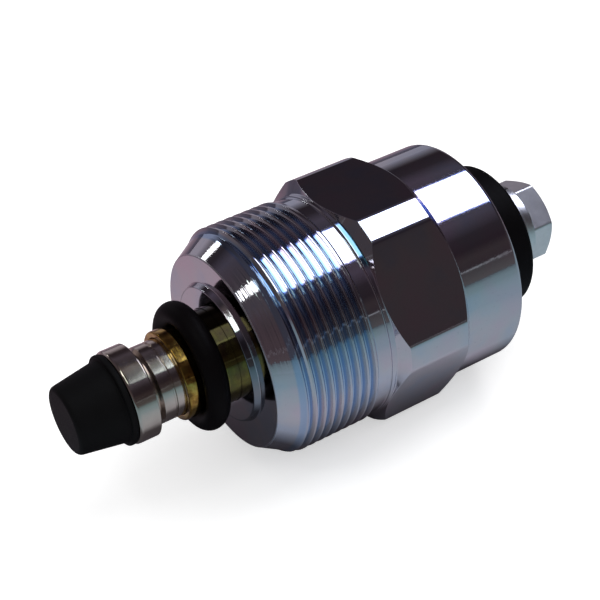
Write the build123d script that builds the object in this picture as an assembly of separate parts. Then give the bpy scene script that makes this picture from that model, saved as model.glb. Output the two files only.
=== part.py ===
from build123d import *
from math import cos, radians, sin, tan
import os

# Fuel shut-off solenoid. Millimetres. +X runs along the axis towards the electrical terminal, +Z is up.
# The origin is on the axis at the rear end of the mounting thread, and one hexagon flat faces down.

# Mounting thread and the front of the housing
thread_d = 24.0
thread_length = 7.15
relief_d = 23.4
relief_length = 2.15
lead_angle = 30.0
face_d = 20.4
lip_d = 14.0
lip_height = 0.37
lip_round = 0.28
recess_d = 12.6
recess_depth = 0.62
front_wall = 3.45

# Hexagon and rear barrel
across_flats = 24.0
corner_trim = 1.41
seat_step = 0.2
hex_chamfer_angle = 48.0
hex_length = 9.05
barrel_step = 0.2
barrel_length = 6.9
barrel_round = 0.45
chamber_d = 20.0
roll_thickness = 0.65
roll_gap = 0.23

# Guide tube
nose_d = 9.3
nose_reach = 6.55
nose_round = 0.3
gland_d = 8.7
gland_width = 2.9
gland_offset = 1.62
band_d = 9.8
band_groove_d = 9.3
band_groove_width = 0.32
band_groove_gap = 1.35
tube_step_d = 10.8
tube_step_length = 2.45
rod_bore_wall = 0.4
liner_d = 10.4
liner_wall = 0.6
tube_flange_d = 14.0
tube_flange_thickness = 0.8
press_gap = 0.02

# Rings
nose_ring_section = 2.3
tube_seal_section = 1.1
core_ring_section = 0.9
stud_ring_section = 0.9
ring_gap = 0.05

# Plunger and rubber tip
running_gap = 0.05
rod_d = 7.94
stroke = 1.9
head_stop_gap = 0.73
rest_gap = 0.05
armature_length = 10.8
rod_groove_width = 0.22
rod_groove_depth = 0.16
rod_groove_gap = 1.15
rod_front_round = 0.35
waist_d = 7.05
waist_length = 0.73
head_d = 9.58
head_length = 2.45
head_round = 0.35
head_back_slope = 0.15
fuel_slot_width = 1.4
fuel_slot_depth = 0.8
cup_d = 5.2
cup_lip = 0.5
cup_undercut_d = 6.4
cup_depth = 1.5
tip_flange_d = 9.3
tip_flange_thickness = 0.6
tip_base_d = 8.46
tip_end_d = 6.9
tip_length = 4.9
tip_round = 0.55
tip_gap = 0.02

# Return spring, its seats, the fixed core and its shim
spring_d = 5.4
spring_wire = 0.62
spring_turns = 7.5
spring_seat_d = 6.0
spring_seat_depth = 8.0
core_recess_depth = 3.0
shim_thickness = 0.2
shim_inset = 0.25
core_head_d = 11.4
core_head_thickness = 0.5
core_ring_inset = 3.2

# Winding
bobbin_gap = 0.1
bobbin_wall = 0.7
bobbin_side_gap = 0.2
bobbin_flange = 0.9
winding_side_gap = 1.3
wrap_thickness = 0.45
winding_gap = 0.05
plate_gap = 0.2
plate_thickness = 2.0
plate_clearance = 0.05
gasket_thickness = 0.8
gasket_width = 1.2

# Terminal cap
cap_d = 15.74
cap_round = 0.45
cap_flange = 2.35
cap_length = 4.89
boss_d = 10.8
boss_height = 0.96
boss_round = 0.25
cap_room_wall = 1.55
cap_room_depth = 1.1
pocket_depth = 2.3

# Terminal stud and what it carries
stud_d = 5.0
stud_tail = 0.45
stud_chamfer = 0.4
stud_head_d = 8.0
stud_head_flats = 6.4
stud_head_thickness = 1.2
stud_foot_d = 3.0
pocket_gap = 0.1
bore_gap = 0.05
tag_d = 5.6
tag_thickness = 0.5
washer_d = 10.0
washer_bore_d = 5.3
washer_thickness = 1.0
washer_edge = 0.12
lock_d = 9.2
lock_bore_d = 5.2
lock_thickness = 1.0
lock_slot = 0.45
lock_slot_angle = 25.0
nut_flats = 8.0
nut_height = 2.7
nut_crown_d = 7.7
nut_crown_angle = 27.0
nut_turned = 43.9

# Leads
lead_d = 0.8
lead_bend = 0.75
lead_inset = 2.4
lead_side = 60.0
earth_side = 240.0
sleeve_wall = 0.22
sleeve_gap = 0.02
lead_hole_gap = 0.12
earth_gap = 0.6

# Stations along the axis, from the thread's rear end
seat_x = relief_length
hex_end_x = seat_x + hex_length
barrel_end_x = hex_end_x + barrel_length
thread_front_x = -thread_length
face_x = thread_front_x - (thread_d - face_d) / 2 / tan(radians(lead_angle))
lip_x = face_x - lip_height
recess_x = face_x + recess_depth
wall_x = recess_x + front_wall
tube_step_x = wall_x - tube_step_length
nose_x = face_x - nose_reach
gland_x = nose_x + gland_offset
gland_end_x = gland_x + gland_width
band_groove_x = gland_end_x + band_groove_gap
rod_stop_x = tube_step_x + rod_bore_wall
armature_x = rod_stop_x + rest_gap
armature_end_x = armature_x + armature_length
core_x = armature_end_x + stroke + shim_thickness + rest_gap
head_back_x = nose_x - head_stop_gap - stroke
rod_end_x = head_back_x + waist_length
head_x = head_back_x - head_length
tip_flange_x = head_x - tip_gap - tip_flange_thickness
tip_x = tip_flange_x - tip_length
bobbin_x = wall_x + tube_flange_thickness + bobbin_gap
roll_x = barrel_end_x - roll_thickness
cap_x = roll_x - cap_flange
plate_end_x = cap_x - gasket_thickness
plate_x = plate_end_x - plate_thickness
bobbin_end_x = plate_x - plate_gap
cap_end_x = barrel_end_x + cap_length
boss_x = cap_end_x + boss_height
pocket_x = cap_x + pocket_depth
stud_foot_x = pocket_x - stud_head_thickness - tag_thickness
lock_x = boss_x + washer_thickness
nut_x = lock_x + lock_thickness
nut_end_x = nut_x + nut_height
stud_end_x = nut_end_x + stud_tail

# Radii shared by mating pieces
corner_r = across_flats / 2 / cos(radians(30)) - corner_trim / 2
seat_r = (across_flats - seat_step) / 2
barrel_r = (across_flats - barrel_step) / 2
chamber_r = chamber_d / 2
winding_r = chamber_r - winding_side_gap
lead_circle_d = chamber_d - 2 * lead_inset
cap_room_r = chamber_r - plate_clearance - cap_room_wall
rod_bore_r = rod_d / 2 + running_gap
liner_bore_r = liner_d / 2 - liner_wall
armature_r = liner_bore_r - running_gap
core_r = liner_bore_r - press_gap
stud_bore_r = stud_d / 2 + bore_gap


def turned(outline, rounds=()):
    """Revolve a closed outline of (x, r) points about X, with chosen corners rounded first."""
    with BuildPart() as piece:
        with BuildSketch(Plane.XY) as section:
            with BuildLine():
                Polyline(*outline, close=True)
            make_face()
            for (x, r), radius in rounds:
                corner = section.vertices().sort_by_distance(Vector(x, r, 0))[0]
                fillet(corner, radius)
        revolve(axis=Axis.X)
    return piece.part


def tube(start_x, end_x, inner_r, outer_r):
    """A plain ring between two stations."""
    return turned([(start_x, inner_r), (end_x, inner_r), (end_x, outer_r), (start_x, outer_r)])


def hexagon(start_x, length, flats, turn=0.0):
    """A hexagonal prism along X. With no turn, two of its flats face up and down."""
    with BuildPart() as piece:
        with BuildSketch(Plane.YZ.offset(start_x)):
            RegularPolygon(radius=flats / 2, side_count=6, major_radius=False, rotation=turn)
        extrude(amount=length)
    return piece.part


def ring(centre_x, inner_r, section_d):
    """A ring of round section that sits on the given inner radius."""
    with BuildPart() as piece:
        with BuildSketch(Plane.XY):
            with Locations((centre_x, inner_r + section_d / 2)):
                Circle(section_d / 2)
        revolve(axis=Axis.X)
    return piece.part


def on_circle(x, diameter, angle):
    """The point at a station, a diameter and an angle from +Y towards +Z."""
    return Vector(x, diameter / 2 * cos(radians(angle)), diameter / 2 * sin(radians(angle)))


def rod_through(start_x, end_x, centre_d, angle, d):
    """A round rod parallel to the axis, used for holes and sleeves."""
    start = on_circle(start_x, centre_d, angle)
    return extrude(Plane(origin=start, z_dir=(1, 0, 0)) * Circle(d / 2), amount=end_x - start_x)


def wire_along(points, d, bend):
    """A round wire along straight runs with rounded bends."""
    route = FilletPolyline(*points, radius=bend)
    section = Plane(origin=route @ 0, z_dir=route % 0) * Circle(d / 2)
    return sweep(section, path=route)


def make_housing():
    """Front face, lead-in, thread, relief, chamfered hexagon and barrel, hollow for the winding."""
    thread_r = thread_d / 2
    recess_r = recess_d / 2
    lip_r = lip_d / 2
    lip_foot_r = lip_r + lip_r - recess_r
    bore_r = band_d / 2 + press_gap
    step_r = tube_step_d / 2 + press_gap
    shell = turned(
        [
            (tube_step_x, bore_r),
            (recess_x, bore_r),
            (recess_x, recess_r),
            (lip_x, lip_r - lip_round / 2),
            (lip_x, lip_r + lip_round / 2),
            (face_x, lip_foot_r),
            (face_x, face_d / 2),
            (thread_front_x, thread_r),
            (0, thread_r),
            (0, relief_d / 2),
            (seat_x, relief_d / 2),
            (hex_end_x, relief_d / 2),
            (hex_end_x, barrel_r),
            (barrel_end_x, barrel_r),
            (barrel_end_x, cap_d / 2 + roll_gap),
            (roll_x, cap_d / 2 + roll_gap),
            (roll_x, chamber_r),
            (wall_x, chamber_r),
            (wall_x, step_r),
            (tube_step_x, step_r),
        ],
        rounds=[
            ((barrel_end_x, barrel_r), barrel_round),
            ((lip_x, lip_r - lip_round / 2), lip_round),
            ((lip_x, lip_r + lip_round / 2), lip_round),
        ],
    )
    slope = tan(radians(hex_chamfer_angle))
    chamfered = turned(
        [
            (seat_x, chamber_r),
            (seat_x, seat_r),
            (seat_x + (corner_r - seat_r) / slope, corner_r),
            (hex_end_x - (corner_r - barrel_r) / slope, corner_r),
            (hex_end_x, barrel_r),
            (hex_end_x, chamber_r),
        ]
    )
    hex_part = chamfered & hexagon(seat_x, hex_length, across_flats)
    seal_r = tube_step_d / 2 + tube_seal_section / 2
    seal_seat = tube(wall_x - tube_seal_section, wall_x, step_r, seal_r + tube_seal_section)
    return shell + hex_part - seal_seat


def make_guide_tube():
    """Brass nose with the O-ring gland and two bands, a step in the housing's wall, and a thin liner."""
    nose_r = nose_d / 2
    band_r = band_d / 2
    step_r = tube_step_d / 2
    flange_end_x = wall_x + tube_flange_thickness
    return turned(
        [
            (nose_x, rod_bore_r),
            (nose_x, nose_r),
            (gland_x, nose_r),
            (gland_x, gland_d / 2),
            (gland_end_x, gland_d / 2),
            (gland_end_x, band_r),
            (band_groove_x, band_r),
            (band_groove_x, band_groove_d / 2),
            (band_groove_x + band_groove_width, band_groove_d / 2),
            (band_groove_x + band_groove_width, band_r),
            (tube_step_x, band_r),
            (tube_step_x, step_r),
            (wall_x, step_r),
            (wall_x, tube_flange_d / 2),
            (flange_end_x, tube_flange_d / 2),
            (flange_end_x, liner_d / 2),
            (plate_end_x, liner_d / 2),
            (plate_end_x, liner_bore_r),
            (rod_stop_x, liner_bore_r),
            (rod_stop_x, rod_bore_r),
        ],
        rounds=[((nose_x, nose_r), nose_round)],
    )


def make_plunger():
    """Armature, rod with a thin groove, waist and cupped head, with a spring bore and a fuel slot."""
    rod_r = rod_d / 2
    groove_x = rod_end_x + rod_groove_gap
    neck_r = waist_d / 2
    head_r = head_d / 2
    cup_x = head_x + cup_depth
    body = turned(
        [
            (head_x, cup_d / 2),
            (head_x, head_r),
            (head_back_x - head_back_slope, head_r),
            (head_back_x, neck_r),
            (head_back_x + waist_length / 2, neck_r),
            (rod_end_x, rod_r),
            (groove_x, rod_r),
            (groove_x + rod_groove_width / 2, rod_r - rod_groove_depth),
            (groove_x + rod_groove_width, rod_r),
            (armature_x, rod_r),
            (armature_x, armature_r),
            (armature_end_x, armature_r),
            (armature_end_x, spring_seat_d / 2),
            (armature_end_x - spring_seat_depth, spring_seat_d / 2),
            (armature_end_x - spring_seat_depth, 0),
            (cup_x, 0),
            (cup_x, cup_undercut_d / 2),
            (head_x + cup_lip, cup_undercut_d / 2),
            (head_x + cup_lip, cup_d / 2),
        ],
        rounds=[
            ((head_back_x - head_back_slope, head_r), head_round),
            ((rod_end_x, rod_r), rod_front_round),
        ],
    )
    slot_middle = Pos((armature_x + armature_end_x) / 2, 0, armature_r - fuel_slot_depth / 2)
    slot = slot_middle * Box(armature_length + rest_gap, fuel_slot_width, fuel_slot_depth + rest_gap)
    return body - slot


def make_rubber_tip():
    """Tapered nose with a flange, and a headed stem that snaps into the plunger's cup."""
    stem_r = cup_d / 2 - tip_gap
    knob_r = cup_undercut_d / 2 - tip_gap
    knob_x = head_x + cup_lip + tip_gap
    knob_end_x = head_x + cup_depth - tip_gap
    seat_side_x = head_x - tip_gap
    return turned(
        [
            (tip_x, 0),
            (tip_x, tip_end_d / 2),
            (tip_flange_x, tip_base_d / 2),
            (tip_flange_x, tip_flange_d / 2),
            (seat_side_x, tip_flange_d / 2),
            (seat_side_x, stem_r),
            (knob_x, stem_r),
            (knob_x, knob_r),
            (knob_end_x, knob_r),
            (knob_end_x, 0),
        ],
        rounds=[((tip_x, tip_end_d / 2), tip_round)],
    )


def make_return_spring():
    """Compression spring between the bottom of the plunger's bore and that of the core's recess."""
    start_x = armature_end_x - spring_seat_depth + winding_gap + spring_wire / 2
    end_x = core_x + core_recess_depth - winding_gap - spring_wire / 2
    coil_r = (spring_d - spring_wire) / 2
    route = Helix(
        pitch=(end_x - start_x) / spring_turns,
        height=end_x - start_x,
        radius=coil_r,
        center=(start_x, 0, 0),
        direction=(1, 0, 0),
    )
    section = Plane(origin=route @ 0, z_dir=route % 0) * Circle(spring_wire / 2)
    return sweep(section, path=route, is_frenet=True)


def make_fixed_core():
    """Pole piece pressed into the liner, with a spring recess, a seal groove and a rear head."""
    groove_x = core_x + core_ring_inset
    groove_r = core_r - core_ring_section
    groove_end_x = groove_x + core_ring_section + 2 * ring_gap
    return turned(
        [
            (core_x, spring_seat_d / 2),
            (core_x, core_r),
            (groove_x, core_r),
            (groove_x, groove_r),
            (groove_end_x, groove_r),
            (groove_end_x, core_r),
            (plate_end_x, core_r),
            (plate_end_x, core_head_d / 2),
            (plate_end_x + core_head_thickness, core_head_d / 2),
            (plate_end_x + core_head_thickness, 0),
            (core_x + core_recess_depth, 0),
            (core_x + core_recess_depth, spring_seat_d / 2),
        ]
    )


def make_core_ring():
    """Seal in the core's groove."""
    centre_x = core_x + core_ring_inset + ring_gap + core_ring_section / 2
    return ring(centre_x, core_r - core_ring_section, core_ring_section)


def make_tube_seal():
    """Seal in the corner between the housing's wall, the tube's step and its flange."""
    return ring(wall_x - tube_seal_section / 2, tube_step_d / 2, tube_seal_section)


def make_bobbin():
    """Spool on the liner. Its rear flange has two holes for the leads."""
    inner_r = liner_d / 2 + winding_gap
    spool_r = inner_r + bobbin_wall
    flange_r = chamber_r - bobbin_side_gap
    spool = turned(
        [
            (bobbin_x, inner_r),
            (bobbin_x, flange_r),
            (bobbin_x + bobbin_flange, flange_r),
            (bobbin_x + bobbin_flange, spool_r),
            (bobbin_end_x - bobbin_flange, spool_r),
            (bobbin_end_x - bobbin_flange, flange_r),
            (bobbin_end_x, flange_r),
            (bobbin_end_x, inner_r),
        ]
    )
    for side in (lead_side, earth_side):
        spool -= lead_hole(bobbin_end_x - bobbin_flange, bobbin_end_x, side)
    return spool


def lead_hole(start_x, end_x, side):
    """The hole that a sleeved lead passes through."""
    hole_d = lead_d + 2 * (sleeve_gap + sleeve_wall + lead_hole_gap)
    return rod_through(start_x, end_x, lead_circle_d, side, hole_d)


def make_coil_winding():
    """The copper, as one ring between the spool's flanges."""
    inner_r = liner_d / 2 + winding_gap + bobbin_wall + winding_gap
    start_x = bobbin_x + bobbin_flange + winding_gap
    end_x = bobbin_end_x - bobbin_flange - winding_gap
    return tube(start_x, end_x, inner_r, winding_r)


def make_coil_wrap():
    """Insulating tape around the copper."""
    start_x = bobbin_x + bobbin_flange + winding_gap
    end_x = bobbin_end_x - bobbin_flange - winding_gap
    inner_r = winding_r + winding_gap
    return tube(start_x, end_x, inner_r, inner_r + wrap_thickness)


def make_pole_plate():
    """Steel ring between the liner and the shell, with holes for the leads."""
    plate = tube(plate_x, plate_end_x, liner_d / 2 + press_gap, chamber_r - plate_clearance)
    for side in (lead_side, earth_side):
        plate -= lead_hole(plate_x, plate_end_x, side)
    return plate


def make_cap_gasket():
    """Flat ring under the terminal cap's flange."""
    outer_r = chamber_r - plate_clearance
    return tube(plate_end_x, cap_x, outer_r - gasket_width, outer_r)


def stud_head(start_x, gap):
    """The stud's flatted head, or with a gap, the pocket that stops it turning."""
    head = extrude(Plane.YZ.offset(start_x) * Circle(stud_head_d / 2 + gap), amount=pocket_x - start_x)
    flats = Box(pocket_x - start_x, stud_head_d + 2 * gap, stud_head_flats + 2 * gap)
    return head & Pos((start_x + pocket_x) / 2, 0, 0) * flats


def make_terminal_cap():
    """Moulded insulator: flange held by the rolled edge, round body, boss, stud bore and lead room."""
    room_x = cap_x + cap_room_depth
    seal_x = pocket_x + stud_ring_section + ring_gap
    cap = turned(
        [
            (cap_x, cap_room_r),
            (cap_x, chamber_r - plate_clearance),
            (roll_x, chamber_r - plate_clearance),
            (roll_x, cap_d / 2),
            (cap_end_x, cap_d / 2),
            (cap_end_x, boss_d / 2),
            (boss_x, boss_d / 2),
            (boss_x, stud_bore_r),
            (room_x, stud_bore_r),
            (room_x, cap_room_r),
        ],
        rounds=[
            ((cap_end_x, cap_d / 2), cap_round),
            ((boss_x, boss_d / 2), boss_round),
        ],
    )
    seal_seat = tube(pocket_x, seal_x, stud_bore_r, stud_bore_r + stud_ring_section)
    return cap - stud_head(cap_x, pocket_gap) - seal_seat


def make_stud_ring():
    """Seal around the stud, under its head."""
    return ring(pocket_x + stud_ring_section / 2, stud_d / 2, stud_ring_section)


def make_terminal_stud():
    """Threaded stud with a flatted head and a foot that is riveted through the contact tag."""
    stud_r = stud_d / 2
    shank = turned(
        [
            (pocket_x, 0),
            (pocket_x, stud_r),
            (stud_end_x, stud_r),
            (stud_end_x, 0),
        ]
    )
    shank = chamfer(shank.edges().group_by(Axis.X)[-1], stud_chamfer)
    foot = turned(
        [
            (stud_foot_x, 0),
            (pocket_x - stud_head_thickness, 0),
            (pocket_x - stud_head_thickness, stud_foot_d / 2),
            (stud_foot_x, stud_foot_d / 2),
        ]
    )
    return shank + stud_head(pocket_x - stud_head_thickness, 0) + foot


def make_contact_tag():
    """Ring of the live lead's tag, on the stud's foot."""
    return tube(stud_foot_x, stud_foot_x + tag_thickness, stud_foot_d / 2 + press_gap, tag_d / 2)


def make_live_lead():
    """From the winding, through the spool and the plate, then inwards to the contact tag."""
    run_x = stud_foot_x - press_gap - lead_d / 2
    start_x = bobbin_end_x - bobbin_flange
    turn_point = on_circle(run_x, lead_circle_d, lead_side)
    end_point = on_circle(run_x, stud_foot_d, lead_side)
    return wire_along([on_circle(start_x, lead_circle_d, lead_side), turn_point, end_point], lead_d, lead_bend)


def make_lead_sleeve():
    """Insulating sleeve on the live lead where it passes the spool's flange and the steel plate."""
    start_x = bobbin_end_x - bobbin_flange
    inner_d = lead_d + 2 * sleeve_gap
    outer = rod_through(start_x, plate_end_x, lead_circle_d, lead_side, inner_d + 2 * sleeve_wall)
    return outer - rod_through(start_x, plate_end_x, lead_circle_d, lead_side, inner_d)


def make_earth_lead():
    """From the winding through the plate, then hooked over and soldered to the plate's rear face."""
    run_x = plate_end_x + lead_d / 2
    start_x = bobbin_end_x - bobbin_flange
    end_point = on_circle(run_x, core_head_d + 2 * earth_gap, earth_side)
    turn_point = on_circle(run_x, lead_circle_d, earth_side)
    return wire_along([on_circle(start_x, lead_circle_d, earth_side), turn_point, end_point], lead_d, lead_bend)


def make_plain_washer():
    """Flat washer on the cap's boss."""
    washer = tube(boss_x, lock_x, washer_bore_d / 2, washer_d / 2)
    return chamfer(washer.edges().filter_by(GeomType.CIRCLE).group_by(SortBy.RADIUS)[-1], washer_edge)


def make_lock_washer():
    """Split spring washer, pressed flat under the nut, with a slanted cut."""
    washer = tube(lock_x, nut_x, lock_bore_d / 2, lock_d / 2)
    middle = Location(((lock_x + nut_x) / 2, 0, lock_d / 4), (0, 0, lock_slot_angle))
    return washer - middle * Box(lock_d, lock_slot, lock_d / 2)


def make_terminal_nut():
    """Hexagon nut with both ends turned to a crown and a countersunk bore."""
    corner_r = nut_flats / 2 / cos(radians(30))
    bore_r = stud_bore_r
    crown = (corner_r - nut_crown_d / 2) * tan(radians(nut_crown_angle))
    blank = hexagon(nut_x, nut_height, nut_flats, nut_turned)
    limits = turned(
        [
            (nut_x, bore_r + stud_chamfer),
            (nut_x, nut_crown_d / 2),
            (nut_x + crown, corner_r),
            (nut_end_x - crown, corner_r),
            (nut_end_x, nut_crown_d / 2),
            (nut_end_x, bore_r + stud_chamfer),
            (nut_end_x - stud_chamfer, bore_r),
            (nut_x + stud_chamfer, bore_r),
        ]
    )
    return blank & limits


pieces = {
    "housing": make_housing(),
    "guide_tube": make_guide_tube(),
    "nose_o_ring": ring((gland_x + gland_end_x) / 2, gland_d / 2, nose_ring_section),
    "tube_seal": make_tube_seal(),
    "plunger": make_plunger(),
    "rubber_tip": make_rubber_tip(),
    "return_spring": make_return_spring(),
    "fixed_core": make_fixed_core(),
    "core_shim": tube(core_x - shim_thickness, core_x, spring_seat_d / 2, core_r - shim_inset),
    "core_o_ring": make_core_ring(),
    "bobbin": make_bobbin(),
    "coil_winding": make_coil_winding(),
    "coil_wrap": make_coil_wrap(),
    "pole_plate": make_pole_plate(),
    "cap_gasket": make_cap_gasket(),
    "terminal_cap": make_terminal_cap(),
    "stud_o_ring": make_stud_ring(),
    "terminal_stud": make_terminal_stud(),
    "contact_tag": make_contact_tag(),
    "live_lead": make_live_lead(),
    "lead_sleeve": make_lead_sleeve(),
    "earth_lead": make_earth_lead(),
    "plain_washer": make_plain_washer(),
    "lock_washer": make_lock_washer(),
    "terminal_nut": make_terminal_nut(),
}

os.makedirs("parts", exist_ok=True)
for name, piece in pieces.items():
    export_step(piece, f"parts/{name}.step")
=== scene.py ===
import bpy
import numpy as np
from mathutils import Matrix, Vector


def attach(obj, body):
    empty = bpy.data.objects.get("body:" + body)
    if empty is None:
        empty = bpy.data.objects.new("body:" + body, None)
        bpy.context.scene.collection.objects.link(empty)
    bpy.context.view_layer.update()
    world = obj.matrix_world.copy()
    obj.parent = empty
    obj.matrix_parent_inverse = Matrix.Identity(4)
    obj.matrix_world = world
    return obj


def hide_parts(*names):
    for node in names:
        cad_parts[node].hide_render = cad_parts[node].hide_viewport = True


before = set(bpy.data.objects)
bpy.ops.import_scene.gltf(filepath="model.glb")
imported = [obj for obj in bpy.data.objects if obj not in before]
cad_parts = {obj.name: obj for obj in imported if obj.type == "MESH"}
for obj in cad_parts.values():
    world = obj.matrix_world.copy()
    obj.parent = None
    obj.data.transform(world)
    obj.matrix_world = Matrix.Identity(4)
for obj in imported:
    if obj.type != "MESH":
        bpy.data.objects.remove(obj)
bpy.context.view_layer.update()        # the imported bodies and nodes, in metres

mm = 0.001
turn = 2 * np.pi
print("stage: frame loaded with", len(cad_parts), "nodes")


# Camera. The viewpoint was solved from the photograph's turned edges.

camera = {
    "place": (-59.88, -105.38, 82.97),      # mm, in the part's frame
    "right": (0.83672, -0.53979, -0.09227),
    "up": (0.36740, 0.42839, 0.82553),
    "lens": 87.16,                          # mm on a 36 mm wide sensor
}


def addCamera(settings):
    # Turned so that its axes are right, up and right x up, each made square to the others.
    data = bpy.data.cameras.new("partCamera")
    data.lens = settings["lens"]
    data.sensor_width = 36.0
    data.clip_start = 0.001
    item = bpy.data.objects.new("partCamera", data)
    right = np.array(settings["right"]) / np.linalg.norm(settings["right"])
    back = np.cross(right, settings["up"])
    back /= np.linalg.norm(back)
    up = np.cross(back, right)
    place = np.array(settings["place"]) * mm
    rows = np.eye(4)
    rows[:3] = np.column_stack([right, up, back, place])
    item.matrix_world = Matrix(rows.tolist())
    bpy.context.scene.collection.objects.link(item)
    bpy.context.scene.camera = item


addCamera(camera)


# Surfaces. Every new piece is a grid of points worked out as whole arrays.

def addPiece(name, points, faces, finish, smooth=40, lids=None):
    # A mesh from an (n, 3) array in mm and an (m, 4) array of corner numbers, with any lids as triangles.
    lids = np.zeros((0, 3), dtype=int) if lids is None else lids
    corners = np.concatenate([faces.ravel(), lids.ravel()])
    starts = [np.arange(0, faces.size, faces.shape[1]), faces.size + np.arange(0, lids.size, 3)]
    mesh = bpy.data.meshes.new(name)
    mesh.vertices.add(len(points))
    mesh.vertices.foreach_set("co", (points * mm).ravel())
    mesh.loops.add(len(corners))
    mesh.loops.foreach_set("vertex_index", corners)
    mesh.polygons.add(len(faces) + len(lids))
    mesh.polygons.foreach_set("loop_start", np.concatenate(starts))
    mesh.update(calc_edges=True)
    mesh.validate()
    mesh.shade_smooth()
    mesh.set_sharp_from_angle(angle=np.radians(smooth))
    mesh.materials.append(finish)
    item = bpy.data.objects.new(name, mesh)
    bpy.context.scene.collection.objects.link(item)
    return item


def gridFaces(rows, columns, aroundRows, aroundColumns):
    # Quads between neighbouring rows and columns, joined end to end where the grid goes around.
    i = np.arange(rows if aroundRows else rows - 1)[:, None]
    j = np.arange(columns if aroundColumns else columns - 1)[None, :]
    i2, j2 = (i + 1) % rows, (j + 1) % columns
    corners = [i * columns + j, i * columns + j2, i2 * columns + j2, i2 * columns + j]
    return np.stack(np.broadcast_arrays(*corners), axis=-1).reshape(-1, 4)


def rounded(outline, radii, steps=5):
    # Each corner C of a closed outline becomes an exact arc between its tangent points A and B:
    # ((1-u)^2 A + 2u(1-u) w C + u^2 B) / ((1-u)^2 + 2u(1-u) w + u^2), w the sine of half the corner.
    # A row is added just before and after each arc, so that the straight runs stay flat.
    corner = np.asarray(outline, dtype=float)
    before = np.roll(corner, 1, axis=-2) - corner
    after = np.roll(corner, -1, axis=-2) - corner
    reachBefore = np.linalg.norm(before, axis=-1, keepdims=True)
    reachAfter = np.linalg.norm(after, axis=-1, keepdims=True)
    before, after = before / reachBefore, after / reachAfter
    half = np.arccos(np.clip((before * after).sum(-1, keepdims=True), -1, 1)) / 2
    radius = np.asarray(radii, dtype=float)[:, None]
    reach = np.minimum(radius / np.tan(half), 0.45 * np.minimum(reachBefore, reachAfter))
    u = np.linspace(0, 1, steps)[:, None]
    weight = np.sin(half)[..., None]
    a = (corner + before * reach)[..., None, :]
    b = (corner + after * reach)[..., None, :]
    c = corner[..., None, :]
    middle = 2 * u * (1 - u) * weight
    arc = ((1 - u) ** 2 * a + middle * c + u ** 2 * b) / ((1 - u) ** 2 + middle + u ** 2)
    first = a + before[..., None, :] * 0.1 * reach[..., None]
    last = b + after[..., None, :] * 0.1 * reach[..., None]
    rows = np.concatenate([first, arc, last], axis=-2)
    return rows.reshape(*corner.shape[:-2], -1, 2)


def around(profile, angles):
    # (x, r) points carried about X: y = r cos(angle), z = r sin(angle).
    x, r = profile[..., 0], profile[..., 1]
    x, r, angle = np.broadcast_arrays(x, r, angles)
    return np.stack([x, r * np.cos(angle), r * np.sin(angle)], axis=-1)


def addTurned(name, outline, radii, finish, segments=192, steps=5, smooth=40):
    # A closed outline of (x, r) points, rounded and turned about X. Points on the axis close it as poles.
    profile = rounded(outline, radii, steps)
    profile = profile[np.linalg.norm(profile - np.roll(profile, 1, axis=0), axis=1) > 1e-5]
    angles = np.linspace(0, turn, segments, endpoint=False)
    points = around(profile[:, None, :], angles[None, :])
    faces = gridFaces(len(profile), segments, True, True)
    return addPiece(name, points.reshape(-1, 3), faces, finish, smooth)


def hexRadius(angle, flats, corner, soft):
    # Distance from the axis to a hexagon's side, flats / 2 / cos(angle from the nearest flat's middle),
    # held under the turned corner radius by a smooth minimum.
    offset = (angle + turn / 12) % (turn / 6) - turn / 12
    side = flats / 2 / np.cos(offset)
    blend = np.clip(0.5 + (corner - side) / (2 * soft), 0, 1)
    return side * blend + corner * (1 - blend) - soft * blend * (1 - blend)


def hexAngles(flats, corner, start, perFlat=22, perLand=6, soft=0.02):
    # Angles that hold each land's two edges exactly, with close ones beside them.
    edge = np.arccos(flats / 2 / corner)
    near = soft * np.array([-2.2, -1.0, 0.0, 1.0, 2.2])
    clear = near[0] * 1.6
    flat = np.linspace(-edge - clear, edge + clear, perFlat)
    land = np.linspace(edge - clear, turn / 6 - edge + clear, perLand)
    one = np.concatenate([flat, edge + near, land, turn / 6 - edge + near])
    one = one[np.argsort(one)]
    return start + (one[None, :] + np.arange(6)[:, None] * turn / 6).ravel()


def grooveDepth(u, size):
    # Depth below the crest at a distance u from a groove's middle: a round root of radius R, where
    # depth = apex - 2R + sqrt(R^2 - u^2), straight 30 degree flanks, and a round edge up to the flat crest.
    slope = np.tan(np.radians(30))
    u = np.abs(u)
    half = (size["pitch"] - size["land"]) / 2
    root, edge = size["rootRound"], size["crestRound"]
    flank = (half - u) / slope
    base = half / slope - 2 * root + np.sqrt(np.maximum(root ** 2 - u ** 2, 0))
    start = half + edge * slope
    rim = edge - np.sqrt(np.maximum(edge ** 2 - (start - u) ** 2, 0))
    depth = np.where(u < root * np.cos(np.radians(30)), base, flank)
    depth = np.where(u > start - edge * np.cos(np.radians(30)), rim, depth)
    return np.where(u > start, 0.0, depth)


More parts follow.
